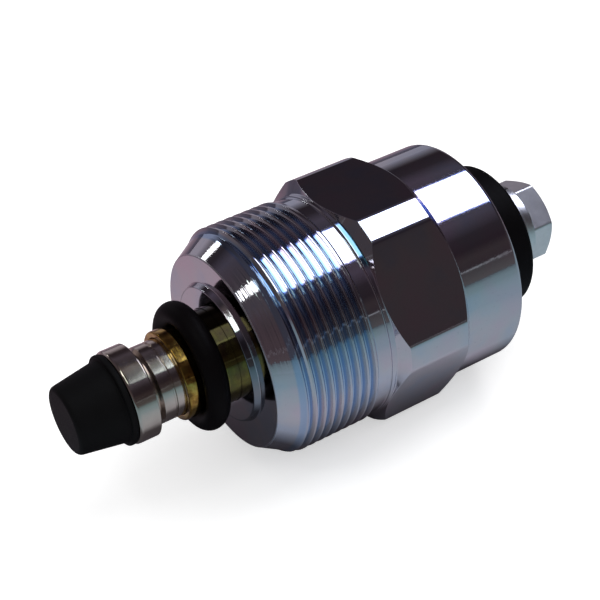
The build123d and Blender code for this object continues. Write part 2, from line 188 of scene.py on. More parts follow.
def addThread(name, size, finish, front=None, rear=None):
    # A screw thread: one groove's section carried along the helix x = start + pitch * angle / turn,
    # shallower over its run-out, and held inside the lead-in cone and the end's bevel. The stations u across
    # the groove are close together in the root and at the crest's edge.
    pitch, crestR = size["pitch"], size["crest"]
    half = (pitch - size["land"]) / 2
    u = np.concatenate([np.linspace(0, 0.12, 7), np.linspace(0.15, half - 0.06, 6),
                        np.linspace(half - 0.045, half + 0.05, 9), [pitch / 2]])
    u = np.concatenate([-u[:0:-1], u])
    turns = (size["end"] - size["start"]) / pitch + 1
    angle = np.linspace(0, turns * turn, int(turns * size["perTurn"]))[:, None]
    middle = size["start"] - pitch / 2 + pitch * angle / turn
    fade = np.clip((size["runOut"][1] - middle) / (size["runOut"][1] - size["runOut"][0]), 0, 1)
    x = np.clip(middle + u, size["start"], size["end"])
    r = crestR - grooveDepth(u, size)[None, :] * fade * np.ones_like(x)
    if front:
        r = np.minimum(r, np.minimum(front(x), crestR))
    if rear:
        r = np.minimum(r, rear(x))
    inner = np.full_like(angle, crestR - size["thick"])
    x = np.concatenate([x, x[:, -1:], x[:, :1]], axis=1)
    r = np.concatenate([r, inner, inner], axis=1)
    points = around(np.stack([x, r], axis=-1), angle + size["phase"]).reshape(-1, 3)
    count = x.shape[1]
    faces = gridFaces(len(angle), count, False, True)[:, ::-1]
    lids = np.array([0, (len(angle) - 1) * count])[:, None] + np.arange(count)[None, :]
    points = np.concatenate([points, points[lids].mean(axis=1)])
    hub = len(points) - 2 + np.arange(2)[:, None]
    ring = np.stack([lids, np.roll(lids, -1, axis=1), np.broadcast_to(hub, lids.shape)], axis=-1)
    ring[1] = ring[1][:, ::-1]
    return addPiece(name, points, faces, finish, 50, ring.reshape(-1, 3))


# Shader expressions

class Link:
    # Wraps one socket, so that sums and products of values add their Math nodes.
    def __init__(self, shader, socket):
        self.shader, self.socket = shader, socket

    def __add__(self, other):
        return self.shader.calc("ADD", self, other)

    def __sub__(self, other):
        return self.shader.calc("SUBTRACT", self, other)

    def __mul__(self, other):
        return self.shader.calc("MULTIPLY", self, other)

    def __truediv__(self, other):
        return self.shader.calc("DIVIDE", self, other)

    def __pow__(self, other):
        return self.shader.calc("POWER", self, other)

    def __rsub__(self, other):
        return self.shader.calc("SUBTRACT", other, self)

    __radd__, __rmul__ = __add__, __mul__


class Shader:
    # One material or world: add() takes a node's type, its settings, then its sockets' values or links.
    def __init__(self, name, kind="materials"):
        self.owner = getattr(bpy.data, kind).new(name)
        self.owner.use_nodes = True
        self.tree = self.owner.node_tree
        self.tree.nodes.clear()

    def add(self, kind, settings={}, values={}, output=0):
        node = self.tree.nodes.new("ShaderNode" + kind)
        for key, value in settings.items():
            if key == "stops":
                ramp = node.color_ramp
                while len(ramp.elements) < len(value):
                    ramp.elements.new(0.5)
                for element, (place, colour) in zip(ramp.elements, value):
                    element.position = place
                    element.color = (*colour, 1) if isinstance(colour, tuple) else (colour,) * 3 + (1,)
            else:
                setattr(node, key, value)
        pairs = values.items() if isinstance(values, dict) else enumerate(values)
        for key, value in pairs:
            if isinstance(value, Link):
                self.tree.links.new(value.socket, node.inputs[key])
            elif isinstance(value, tuple) and node.inputs[key].type == "RGBA":
                node.inputs[key].default_value = (*value, 1)
            else:
                node.inputs[key].default_value = value
        return Link(self, node.outputs[output]) if node.outputs else node

    def calc(self, operation, *terms):
        # One Math node.
        return self.add("Math", {"operation": operation}, terms)

    def mix(self, factor, a, b):
        # Two colours mixed by a value.
        return self.add("Mix", {"data_type": "RGBA"}, {0: factor, 6: a, 7: b}, 2)

    def ramp(self, value, *stops):
        # A colour, or a grey, that follows a value between the stops.
        return self.add("ValToRGB", {"stops": stops}, [value])

    def noise(self, vector, scale, detail=2.0, rough=0.5):
        return self.add("TexNoise", {}, {"Vector": vector, "Scale": scale, "Detail": detail,
                                         "Roughness": rough})

    def places(self):
        # Object coordinates in mm: x, y, z, distance from the X axis, and the vector itself.
        here = self.add("VectorMath", {"operation": "SCALE"},
                        {0: self.add("TexCoord", {}, {}, "Object"), "Scale": 1000.0})
        x, y, z = (self.add("SeparateXYZ", {}, [here], k) for k in range(3))
        return x, y, z, (y * y + z * z) ** 0.5, here

    def band(self, value, low, high, soft):
        # 1 between two values, 0 outside them, with soft ends.
        up = self.add("MapRange", {}, {"Value": value, "From Min": low - soft, "From Max": low + soft})
        down = self.add("MapRange", {}, {"Value": value, "From Min": high + soft, "From Max": high - soft})
        return up * down

    def vector(self, x, y, z):
        return self.add("CombineXYZ", {}, [x, y, z])

    def bump(self, height, strength, distance):
        return self.add("Bump", {}, {"Height": height, "Strength": strength, "Distance": distance})

    def finish(self, **values):
        # The closing Principled shader, with plain values set on its own sockets.
        named = {key.replace("_", " "): value for key, value in values.items()}
        self.add("OutputMaterial", {}, {"Surface": self.add("BsdfPrincipled", {}, named)})
        return self.owner

    def shine(self, colour, level=1.0):
        # A closing shader that only gives light.
        glow = self.add("Emission", {}, {"Color": colour, "Strength": level})
        self.add("OutputMaterial", {}, {"Surface": glow})
        return self.owner


# Finishes

zinc = {
    "steel": (0.63, 0.625, 0.655), "blue": (0.52, 0.60, 0.70), "rose": (0.68, 0.59, 0.65),
    "speck": (0.24, 0.22, 0.24), "rough": 0.035,
    "wear": {"x": (-10.34, -10.16), "r": (10.08, 10.30), "rough": 0.3},
    "rows": {"x": (-10.2, -7.5), "y": (-13.0, -3.5), "z": (3.5, 13.0), "height": 75.0},
    # groove: a painted blue reflection in the thread's grooves, all round
    "groove": {"x": (-8.4, 0.4), "r": (11.20, 11.70), "share": 0.75, "colour": (0.36, 0.52, 0.74)},
    # seat: a painted reflection, dark blue, only where the main camera sees the seat ring
    "seat": {"x": (1.95, 2.55), "r": (11.87, 11.99), "y": (-8.4, -3.4), "z": (8.6, 12.0),
             "colour": (0.045, 0.17, 0.24)},
    # collar: a painted dark reflection on the collar's wall, only where the main camera sees it
    "collar": {"x": (-10.95, -10.32), "r": (6.95, 7.50), "z": (-9.0, 5.2), "share": 0.72,
               "colour": (0.10, 0.13, 0.15)},
}


def zincFinish(name, settings, turned=1.0):
    # Bright zinc plate: clouded blue and rose film over steel grey, fine turned rings and light scuffs,
    # and wear on the face's edge. The cone's rows are bumps put only where the main camera sees them, to
    # match its reflections. The seat's dark blue and the collar's dark grey are painted reflections, put only
    # where the main camera sees them, and the thread's grooves carry a painted blue reflection all round.
    wear, lines, groove = settings["wear"], settings["rows"], settings["groove"]
    seat, collar = settings["seat"], settings["collar"]
    s = Shader(name)
    x, y, z, r, here = s.places()
    cloud = s.noise(here, 0.16, 3.0, 0.55)
    film = s.ramp(cloud, (0.36, settings["blue"]), (0.50, settings["steel"]), (0.62, settings["rose"]))
    grain = s.noise(here, 5.0, 4.0, 0.65)
    colour = s.mix(grain * 0.35, film, settings["steel"])
    rings = s.noise(s.vector(x, r, 0.0), 7.0, 4.0, 0.6)
    specks = s.ramp(s.noise(here, 3.1, 3.0, 0.7), (0.66, 0.0), (0.72, 1.0))
    colour = s.mix(specks * 0.35, colour, settings["speck"])
    # Painted reflection: the seat ring tinted dark blue where the main camera sees it.
    seatReflectionTint = s.band(x, *seat["x"], 0.06) * s.band(r, *seat["r"], 0.04)
    seatReflectionTint = seatReflectionTint * s.band(z, *seat["z"], 0.3) * s.band(y, *seat["y"], 0.3)
    colour = s.mix(seatReflectionTint, colour, seat["colour"])
    # Painted reflection: the thread's grooves tinted blue all round.
    grooveBlueReflection = s.band(r, *groove["r"], 0.10) * s.band(x, *groove["x"], 0.1)
    colour = s.mix(grooveBlueReflection * groove["share"], colour, groove["colour"])
    edge = s.band(x, *wear["x"], 0.04) * s.band(r, *wear["r"], 0.04)
    pits = s.noise(here, 26.0, 2.0, 0.6)
    coarse = s.ramp(s.noise(here, 0.17, 2.0), (0.45, 0.0), (0.62, 1.0))
    peel = s.noise(here, 3.4, 3.0, 0.65)
    rows = s.noise(s.vector(x, 0.0, 0.0), 3.2, 1.0, 0.4)
    rows = rows * s.band(x, *lines["x"], 0.1) * s.band(y, *lines["y"], 1.0) * s.band(z, *lines["z"], 0.6)
    height = rings * turned + pits * 0.3 + coarse * peel * 6.0 + rows * lines["height"]
    # Painted reflection: the collar's wall darkened where the main camera sees it.
    collarDarkReflection = s.band(x, *collar["x"], 0.02) * s.band(r, *collar["r"], 0.03)
    colour = s.mix(collarDarkReflection * s.band(z, *collar["z"], 0.8) * collar["share"], colour, collar["colour"])
    return s.finish(Base_Color=colour, Metallic=1.0, Normal=s.bump(height, 0.18, 0.000004),
                    Roughness=settings["rough"] + grain * 0.06 + edge * wear["rough"])


def nickelFinish(name, colour, rough):
    # Plated steel: faint clouds, turned rings and fine grain.
    s = Shader(name)
    x, y, z, r, here = s.places()
    cloud = s.noise(here, 0.9, 4.0, 0.6)
    shade = s.mix(cloud, tuple(0.82 * c for c in colour), tuple(min(1.0, 1.12 * c) for c in colour))
    rings = s.noise(s.vector(x, r, 0.0), 9.0, 4.0, 0.6)
    grain = s.noise(here, 30.0, 2.0)
    normal = s.bump(rings + grain * 0.4, 0.2, 0.000006)
    return s.finish(Base_Color=shade, Metallic=1.0, Roughness=rough + cloud * 0.08, Normal=normal)


def brassFinish(name):
    # Turned brass: golden at the nose, olive behind the O-ring and painted darker on top for the main view.
    s = Shader(name)
    x, y, z, r, here = s.places()
    stain = s.noise(here, 0.9, 4.0, 0.6)
    golden = s.ramp(stain, (0.36, (0.20, 0.11, 0.03)), (0.50, (0.46, 0.27, 0.06)),
                    (0.62, (0.62, 0.44, 0.10)))
    olive = s.ramp(stain, (0.36, (0.16, 0.125, 0.06)), (0.60, (0.25, 0.225, 0.06)))
    behind = s.add("MapRange", {}, {"Value": x, "From Min": -15.0, "From Max": -12.6})
    rings = s.noise(s.vector(x, r, 0.0), 8.0, 4.0, 0.6)
    shaded = s.mix(s.band(z, 3.55, 6.0, 0.25) * 0.85, olive, (0.015, 0.01, 0.01))
    return s.finish(Base_Color=s.mix(behind, golden, shaded), Metallic=1.0, Roughness=0.06 + stain * 0.06,
                    Normal=s.bump(rings, 0.3, 0.000008))


def blackFinish(name, colour, rough, grainScale, bump, specular=0.5):
    # Rubber or moulded plastic: near black, with fine grain and dusty clouds.
    s = Shader(name)
    x, y, z, r, here = s.places()
    grain = s.noise(here, grainScale, 3.0, 0.6)
    dust = s.noise(here, 0.5, 4.0, 0.7)
    shade = s.mix(dust * 0.6, colour, tuple(2.2 * c for c in colour))
    normal = s.bump(grain, bump, 0.00002)
    return s.finish(Base_Color=shade, Metallic=0.0, Roughness=rough + dust * 0.12, Normal=normal,
                    Specular_IOR_Level=specular)


def softFinish(name, colour, metallic, rough, grainScale):
    # Inner pieces: one colour with grain, at the scale of the real stuff.
    s = Shader(name)
    x, y, z, r, here = s.places()
    grain = s.noise(here, grainScale, 3.0)
    shade = s.mix(grain * 0.5, colour, tuple(0.7 * c for c in colour))
    return s.finish(Base_Color=shade, Metallic=metallic, Roughness=rough + grain * 0.1,
                    Normal=s.bump(grain, 0.3, 0.00002))


def windingFinish(name):
    # Enamelled copper wire wound side by side: ridges along X at the wire's pitch.
    s = Shader(name)
    x, y, z, r, here = s.places()
    wire = s.calc("PINGPONG", x + r * 0.5, 0.11)
    tint = s.mix(s.noise(here, 2.0), (0.62, 0.26, 0.10), (0.75, 0.36, 0.16))
    return s.finish(Base_Color=tint, Metallic=1.0, Roughness=0.3, Normal=s.bump(wire, 0.8, 0.0002))


zincBody = zincFinish("brightZinc", zinc)
zincThread = zincFinish("brightZincThread", zinc, 0.3)
nickel = nickelFinish("nickelPlate", (0.66, 0.58, 0.50), 0.09)
nutSteel = nickelFinish("platedNut", (0.80, 0.80, 0.79), 0.27)
brass = brassFinish("turnedBrass")
ringRubber = blackFinish("sealRubber", (0.0025, 0.0018, 0.0022), 0.42, 24.0, 0.2, 0.05)
tipRubber = blackFinish("tipRubber", (0.0034, 0.0032, 0.0036), 0.52, 18.0, 0.5, 0.08)
capPlastic = blackFinish("capPlastic", (0.0025, 0.002, 0.0025), 0.45, 14.0, 0.3, 0.05)
print("stage: finishes made")


# Housing: front collar, face, lead-in, thread core, relief, hexagon and barrel

housing = {
    "front": -8.65, "bore": 4.92, "collar": (-10.92, 7.10, 7.34),
    "face": (-10.268, 10.2), "leadStart": -7.15, "threadR": 12.0, "rootR": 11.39,
    "coreInset": 0.06, "coreEnd": -0.4, "relief": 11.70, "wallX": (1.80, 0.10), "seat": (2.15, 11.90),
    "seatEnd": (2.40, 0.06), "hexEnd": 11.20, "flats": 24.0, "corner": 13.15, "cornerSoft": 0.035,
    "chamfer": 48, "barrel": 11.9, "end": 18.10, "rollBore": 8.1, "roll": 17.45, "chamber": 10.0,
    "wall": -6.20, "step": 5.42,
}


def leadCone(x):
    # Radius of the 30 degree lead-in cone at a station.
    return housing["threadR"] + np.minimum(0, x - housing["leadStart"]) * np.tan(np.radians(30))


def addHousing(h):
    # One closed outline per angle. In the hexagon's stretch the chamfer cones meet each side at
    # x = start + (side radius - seat radius) / tan(chamfer), so the rows follow the real curved edges.
    angles = hexAngles(h["flats"], h["corner"], turn / 4)
    side = hexRadius(angles - turn / 4, h["flats"], h["corner"], h["cornerSoft"])
    slope = np.tan(np.radians(h["chamfer"]))
    core = h["rootR"] - h["coreInset"]
    coneX = h["leadStart"] - (h["threadR"] - core) / np.tan(np.radians(30))
    one = np.ones_like(side)
    frontX = h["seat"][0] + (side - h["seat"][1]) / slope
    rearX = h["hexEnd"] - (side - h["barrel"]) / slope
    seatEnd = np.minimum(h["seatEnd"][0], frontX - h["seatEnd"][1])
    collarX, collarR, collarFoot = h["collar"]
    wallX, wallRun = h["wallX"]
    outline = [
        (h["front"], h["bore"], 0.0), (collarX, h["bore"], 0.05), (collarX, collarR, 0.14),
        (h["face"][0], collarFoot, 0.16), (h["face"][0], h["face"][1], 0.12), (coneX, core, 0.05),
        (h["coreEnd"], core, 0.0), (h["coreEnd"] + h["relief"] - core, h["relief"], 0.05),
        (wallX, h["relief"], 0.20), (wallX + wallRun, h["seat"][1], 0.05), (seatEnd, h["seat"][1], 0.10),
        (frontX, side, 0.07), (rearX, side, 0.07),
        (h["hexEnd"], h["barrel"], 0.10), (h["end"], h["barrel"], 0.45),
        (h["end"], h["rollBore"], 0.15), (h["roll"], h["rollBore"], 0.05), (h["roll"], h["chamber"], 0.1),
        (h["wall"], h["chamber"], 0.2), (h["wall"], h["step"], 0.05), (h["front"], h["step"], 0.1),
    ]
    corners = np.stack([np.stack([x * one, r * one], axis=-1) for x, r, _ in outline], axis=1)
    profile = rounded(corners, [radius for _, _, radius in outline], 5)
    points = around(profile.transpose(1, 0, 2), angles[None, :])
    faces = gridFaces(profile.shape[1], len(angles), True, True)
    return addPiece("housingShell", points.reshape(-1, 3), faces, zincBody, 35)


shell = addHousing(housing)

threadSize = {
    "pitch": 1.0, "crest": 12.0, "land": 0.16, "crestRound": 0.06, "rootRound": 0.14, "thick": 0.85,
    "start": -8.6, "end": 0.36, "perTurn": 150, "phase": -0.60, "runOut": (-0.3, 0.3), "bevelFrom": 0.05,
    "proud": 0.14, "proudFrom": -8.2, "proudOver": 0.6,
}


def threadEnd(x):
    # Behind the last crest the rod is bevelled down to the relief at 45 degrees.
    return threadSize["crest"] - np.maximum(0, x - threadSize["bevelFrom"])


def threadLead(x):
    # The crests' own lead-in stands a little proud of the cone near its top.
    rise = np.clip((x - threadSize["proudFrom"]) / threadSize["proudOver"], 0, 1)
    return leadCone(x) + threadSize["proud"] * rise


thread = addThread("housingThread", threadSize, zincThread, front=threadLead, rear=threadEnd)


# Brass guide tube

tube = {
    "nose": (-16.45, 4.65), "bore": 4.02, "gland": (-15.25, -12.298, 4.35), "band": 4.9,
    "step": (-8.65, 5.4), "flange": (-6.20, 7.0, 0.8), "liner": (5.2, 4.6), "rodWall": -8.25, "end": 14.30,
}
guideTube = addTurned("guideTube", [
    (tube["nose"][0], tube["bore"]), (tube["nose"][0], tube["nose"][1]), (tube["gland"][0], tube["nose"][1]),
    (tube["gland"][0], tube["gland"][2]), (tube["gland"][1], tube["gland"][2]),
    (tube["gland"][1], tube["band"]),
    (tube["step"][0], tube["band"]), (tube["step"][0], tube["step"][1]), (tube["flange"][0], tube["step"][1]),
    (tube["flange"][0], tube["flange"][1]), (tube["flange"][0] + tube["flange"][2], tube["flange"][1]),
    (tube["flange"][0] + tube["flange"][2], tube["liner"][0]), (tube["end"], tube["liner"][0]),
    (tube["end"], tube["liner"][1]), (tube["rodWall"], tube["liner"][1]), (tube["rodWall"], tube["bore"]),
], [0.12, 0.2, 0.15, 0.1, 0.1, 0.12, 0.05, 0.05, 0.05, 0.1, 0.1, 0.1, 0.05, 0.05, 0.05, 0.05],
    brass)


# Nose O-ring, a little squeezed by its groove

oRing = {"x": -13.75, "centre": 5.50, "radial": 1.15, "axial": 1.22, "tilt": (0.02, 0.03)}


def addRing(name, size, finish, segments=160, section=40):
    # A torus of oval section: x = place - axial sin(v), r = centre + radial cos(v), tipped by two small
    # angles. Its rows run the other way than an outline's, so the faces are turned round.
    v = np.linspace(0, turn, section, endpoint=False)[:, None]
    u = np.linspace(0, turn, segments, endpoint=False)[None, :]
    r = size["centre"] + size["radial"] * np.cos(v)
    x = size["x"] - size["axial"] * np.sin(v)
    lean = size["tilt"][0] * np.cos(u) + size["tilt"][1] * np.sin(u)
    points = np.stack([x + r * lean, r * np.cos(u), r * np.sin(u)], axis=-1)
    faces = gridFaces(section, segments, True, True)[:, ::-1]
    return addPiece(name, points.reshape(-1, 3), faces, finish, 60)


noseRing = addRing("noseSealRing", oRing, ringRubber)


# Plunger, turned in one piece: cupped head, waist, grooved rod, armature and spring seat

plunger = {
    "cupFloor": -20.40, "cup": 2.6, "undercut": 3.2, "head": (-21.898, -19.448, 4.79),
    "waist": (-18.718, 3.525), "rod": 3.97, "groove": (-17.568, 0.22, 3.81), "shoulder": -8.20,
    "armature": 4.55, "end": 2.60, "seat": (-5.4, 3.0),
}
p = plunger
plungerPiece = addTurned("plungerBody", [
    (p["cupFloor"], 0.0), (p["cupFloor"], p["undercut"]), (p["head"][0] + 0.5, p["undercut"]),
    (p["head"][0] + 0.5, p["cup"]), (p["head"][0], p["cup"]), (p["head"][0], p["head"][2]),
    (p["head"][1] - 0.15, p["head"][2]), (p["head"][1], p["waist"][1]),
    (p["waist"][0] - 0.36, p["waist"][1]), (p["waist"][0], p["rod"]), (p["groove"][0], p["rod"]),
    (p["groove"][0], p["groove"][2]), (p["groove"][0] + p["groove"][1], p["groove"][2]),
    (p["groove"][0] + p["groove"][1], p["rod"]), (p["shoulder"], p["rod"]), (p["shoulder"], p["armature"]),
    (p["end"], p["armature"]), (p["end"], p["seat"][1]), (p["seat"][0], p["seat"][1]), (p["seat"][0], 0.0),
], [0, 0.1, 0.05, 0.05, 0.1, 0.35, 0.12, 0.1, 0.25, 0.05, 0.04, 0.04, 0.05, 0.05, 0.2, 0.2, 0.1, 0.1, 0.1, 0],
    nickel)


# Rubber tip with its flange and the stud that holds it in the cup

tip = {"end": -27.42, "endR": 3.45, "base": 4.23, "flange": (-22.518, -21.918, 4.65), "neck": 2.58,
       "foot": 3.18, "footX": (-21.38, -20.42)}
tipPiece = addTurned("rubberTip", [
    (tip["end"], 0.0), (tip["footX"][1], 0.0), (tip["footX"][1], tip["foot"]), (tip["footX"][0], tip["foot"]),
    (tip["footX"][0], tip["neck"]), (tip["flange"][1], tip["neck"]), (tip["flange"][1], tip["flange"][2]),
    (tip["flange"][0], tip["flange"][2]), (tip["flange"][0], tip["base"]), (tip["end"], tip["endR"]),
][::-1], [0.55, 0.15, 0.2, 0.15, 0.05, 0.05, 0.1, 0.1, 0, 0], tipRubber, steps=8)


# Terminal cap

cap = {"start": 15.10, "room": (16.20, 8.4), "flange": 9.95, "roll": 17.45, "body": 7.87, "end": 22.99,
       "boss": (23.95, 5.4), "bore": 2.55}
capPiece = addTurned("terminalCap", [
    (cap["room"][0], cap["bore"]), (cap["room"][0], cap["room"][1]), (cap["start"], cap["room"][1]),
    (cap["start"], cap["flange"]), (cap["roll"], cap["flange"]), (cap["roll"], cap["body"]),
    (cap["end"], cap["body"]), (cap["end"], cap["boss"][1]), (cap["boss"][0], cap["boss"][1]),
    (cap["boss"][0], cap["bore"]),
], [0.1, 0.1, 0.1, 0.1, 0.1, 0.1, 0.45, 0.15, 0.25, 0.1], capPlastic)


# Washers, nut and stud

washer = {"from": 23.95, "to": 24.95, "outer": 5.0, "inner": 2.65}
plainWasher = addTurned("plainWasher", [
    (washer["from"], washer["inner"]), (washer["from"], washer["outer"]), (washer["to"], washer["outer"]),
    (washer["to"], washer["inner"]),
], [0.05, 0.12, 0.12, 0.05], nutSteel)

lock = {"from": 24.95, "to": 25.95, "outer": 4.6, "inner": 2.6, "slot": 0.45, "slant": 25.0}


def addLockWasher(size, finish, segments=160):
    # A rounded rectangle carried nearly a full turn. Its two cut ends lean, so the slot runs at an angle:
    # angle(x) = place in the turn + (x - middle) tan(slant) / outer radius.
    profile = rounded([(size["from"], size["inner"]), (size["from"], size["outer"]),
                       (size["to"], size["outer"]), (size["to"], size["inner"])], [0.06, 0.1, 0.1, 0.06], 4)
    gap = size["slot"] / size["outer"] / 2
    u = np.linspace(turn / 4 + gap, turn / 4 + turn - gap, segments)[None, :]
    middle = (size["from"] + size["to"]) / 2
    lean = (profile[:, 0:1] - middle) * np.tan(np.radians(size["slant"])) / size["outer"]
    points = around(profile[:, None, :], u + lean)
    count = len(profile)
    faces = gridFaces(count, segments, True, False)
    flat = points.reshape(-1, 3)
    rows = np.arange(count) * segments
    hubs = flat[np.stack([rows, rows + segments - 1])].mean(axis=1)
    nextRow = np.roll(rows, -1)
    startFan = np.stack([rows, nextRow, np.full(count, len(flat))], axis=-1)
    last = segments - 1
    endFan = np.stack([rows + last, np.full(count, len(flat) + 1), nextRow + last], axis=-1)
    lids = np.concatenate([startFan, endFan])
    return addPiece("lockWasher", np.concatenate([flat, hubs]), faces, finish, 40, lids)


lockWasher = addLockWasher(lock, nutSteel)

nut = {"from": 25.95, "to": 28.65, "flats": 8.0, "corner": 4.56, "bore": 2.55, "crown": 3.85, "slope": 27.0,
       "turned": 13.9}


def addNut(size, finish):
    # One closed outline per angle, as on the housing, with a crown cone at the outer end only.
    start = np.radians(size["turned"])
    angles = hexAngles(size["flats"], size["corner"], start, 16, 3, 0.012)
    side = hexRadius(angles - start, size["flats"], size["corner"], 0.02)
    slope = np.tan(np.radians(size["slope"]))
    one = np.ones_like(side)
    crownX = size["to"] - np.maximum(side - size["crown"], 0.02) * slope
    outline = [
        (size["from"], size["bore"] + 0.25, 0.02), (size["from"], side, 0.05), (crownX, side, 0.04),
        (size["to"], size["crown"], 0.05), (size["to"], size["bore"] + 0.25, 0.02),
        (size["to"] - 0.25, size["bore"], 0.02), (size["from"] + 0.25, size["bore"], 0.02),
    ]
    corners = np.stack([np.stack([x * one, r * one], axis=-1) for x, r, _ in outline], axis=1)
    profile = rounded(corners, [radius for _, _, radius in outline], 4)
    points = around(profile.transpose(1, 0, 2), angles[None, :])
    faces = gridFaces(profile.shape[1], len(angles), True, True)
    return addPiece("terminalNut", points.reshape(-1, 3), faces, finish, 35)


nutPiece = addNut(nut, nutSteel)

studThread = {"pitch": 0.8, "crest": 2.5, "land": 0.12, "crestRound": 0.03, "rootRound": 0.11, "thick": 0.6,
              "start": 20.0, "end": 29.10, "perTurn": 64, "phase": 1.1, "runOut": (40.0, 41.0)}


def studTip(x):
    # The chamfer on the stud's free end.
    return studThread["crest"] - np.maximum(0, x - studThread["end"] + 0.4)


stud = {"foot": (14.6, 1.5), "head": (16.2, 17.4, 4.0), "shank": 2.45, "core": (20.0, 29.10, 2.02)}
studCore = addTurned("studCore", [
    (stud["foot"][0], 0.0), stud["foot"], (stud["head"][0], stud["foot"][1]),
    (stud["head"][0], stud["head"][2]), (stud["head"][1], stud["head"][2]),
    (stud["head"][1], stud["shank"]), (stud["core"][0], stud["shank"]),
    (stud["core"][0], stud["core"][2]), (stud["core"][1], stud["core"][2]), (stud["core"][1], 0.0),
], [0, 0.1, 0.05, 0.1, 0.1, 0.05, 0.05, 0.05, 0.05, 0], nutSteel, segments=96)
studRidge = addThread("studThread", studThread, nutSteel, rear=studTip)
print("stage: pieces made")


# What rides on what, and the CAD nodes that each piece stands for

held = [
    (shell, "solenoid_body", ["housing"], "zinc_steel"), (thread, "solenoid_body", ["housing"], "zinc_steel"),
    (guideTube, "solenoid_body", ["guide_tube"], "brass"),
    (noseRing, "solenoid_body", ["nose_o_ring"], "black_rubber"),
    (plungerPiece, "plunger_assembly", ["plunger"], "nickel_steel"),
    (tipPiece, "plunger_assembly", ["rubber_tip"], "tip_rubber"),
    (capPiece, "solenoid_body", ["terminal_cap"], "cap_plastic"),
    (plainWasher, "terminal_washers", ["plain_washer"], "plated_steel"),
    (lockWasher, "terminal_washers", ["lock_washer"], "plated_steel"),
    (nutPiece, "terminal_nut", ["terminal_nut"], "plated_steel"),
    (studCore, "solenoid_body", ["terminal_stud"], "plated_steel"),
    (studRidge, "solenoid_body", ["terminal_stud"], "plated_steel"),
]
for piece, body, nodes, slot in held:
    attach(piece, body)
    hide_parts(*nodes)

inner = {
    "return_spring": softFinish("springSteel", (0.42, 0.42, 0.44), 1.0, 0.3, 6.0),
    "fixed_core": softFinish("softIron", (0.36, 0.35, 0.34), 1.0, 0.4, 4.0),
    "core_shim": softFinish("shimBrass", (0.70, 0.55, 0.25), 1.0, 0.35, 6.0),
    "bobbin": softFinish("bobbinNylon", (0.62, 0.58, 0.48), 0.0, 0.5, 3.0),
    "coil_winding": windingFinish("woundCopper"),
    "coil_wrap": softFinish("wrapTape", (0.55, 0.40, 0.10), 0.0, 0.45, 2.0),
    "cap_gasket": softFinish("gasketRubber", (0.03, 0.03, 0.03), 0.0, 0.6, 9.0),
    "lead_sleeve": softFinish("sleeveWoven", (0.55, 0.10, 0.06), 0.0, 0.6, 9.0),
    "live_lead": softFinish("leadCopper", (0.72, 0.38, 0.20), 1.0, 0.35, 9.0),
}
inner["pole_plate"] = inner["fixed_core"]
inner["contact_tag"] = inner["core_shim"]
inner["earth_lead"] = inner["live_lead"]
for ring in ("tube_seal", "core_o_ring", "stud_o_ring"):
    inner[ring] = inner["cap_gasket"]
for node, material in inner.items():
    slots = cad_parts[node].data.materials
    for k in range(max(1, len(slots))):
        if k < len(slots):
            slots[k] = material
        else:
            slots.append(material)
print("stage: pieces riding on their bodies")


# Floor, lamps, and the dark tent and pale cards that only gloss sees

studio = {
    "floorColour": (0.97, 0.97, 0.975), "floorHeight": -12.0,     # mm
    "floorLift": 0.50,                                            # whitens the floor for the camera alone
    # floorMirror and floorBehind: painted fall-off of light on the floor as gloss sees it, pale lilac behind
    "floorMirror": [(0.0, (0.56, 0.54, 0.60)), (0.008, (0.66, 0.66, 0.76)), (0.0125, (0.48, 0.54, 0.62)),
                    (0.0235, (0.32, 0.44, 0.52)), (0.06, (0.23, 0.34, 0.38)), (0.15, (0.18, 0.26, 0.29)),
                    (0.5, (0.11, 0.14, 0.17))],
    "floorBehind": [(0.0, (0.60, 0.50, 0.58)), (0.0125, (0.56, 0.46, 0.53)), (0.02, (0.50, 0.40, 0.47)),
                    (0.04, (0.30, 0.22, 0.27)), (0.1, (0.13, 0.115, 0.155)), (0.5, (0.08, 0.07, 0.09))],
    # painted shade under the part, seen only in gloss
    "floorUnderShade": (0.07, 0.055, 0.068),                           # a dark patch that only gloss sees
    "fill": 0.78,                                                 # the world's pale light
    "rightBox": {"centre": (0.42, -0.02, 0.60), "size": (0.34, 0.44), "level": 3.6,
                 "rim": ((-0.022, 0.11), (-0.014, 0.014)), "rimColour": (0.08, 0.20, 0.90), "rimLevel": 1.1},
    "glow": [{"x": (0.203, 0.25), "y": (-0.40, 0.06), "colour": (0.75, 0.92, 1.0), "level": 2.4},
             {"x": (-0.29, -0.19), "y": (-0.38, 0.05), "colour": (0.85, 1.0, 0.92), "level": 3.0}],
    "leftBox": {"centre": (-0.40, -0.024, 0.60), "size": (0.10, 0.13), "level": 4.0},
    "rearBox": {"centre": (-0.16, 0.70, 0.36), "size": (0.12, 0.05), "level": 4.0, "facing": True},
}

tent = {
    "radius": 1400.0,                                             # mm
    # shades, side and ahead: painted reflections that glow in the dome, with a pale band low down
    "shades": [(0.0, (0.10, 0.095, 0.10)), (0.180, (0.065, 0.060, 0.066)), (0.186, (0.34, 0.37, 0.40)),
               (0.194, (0.34, 0.37, 0.40)), (0.200, (0.040, 0.031, 0.037)), (0.34, (0.046, 0.036, 0.040)),
               (0.45, (0.026, 0.019, 0.025)), (0.60, (0.030, 0.024, 0.031)), (0.74, (0.075, 0.065, 0.090)),
               (0.86, (0.05, 0.042, 0.055)), (0.93, (0.035, 0.03, 0.035)), (0.96, (0.12, 0.10, 0.10))],
    "side": (0.36, 0.33, 0.39),
    "ahead": (0.085, 0.068, 0.076),
}


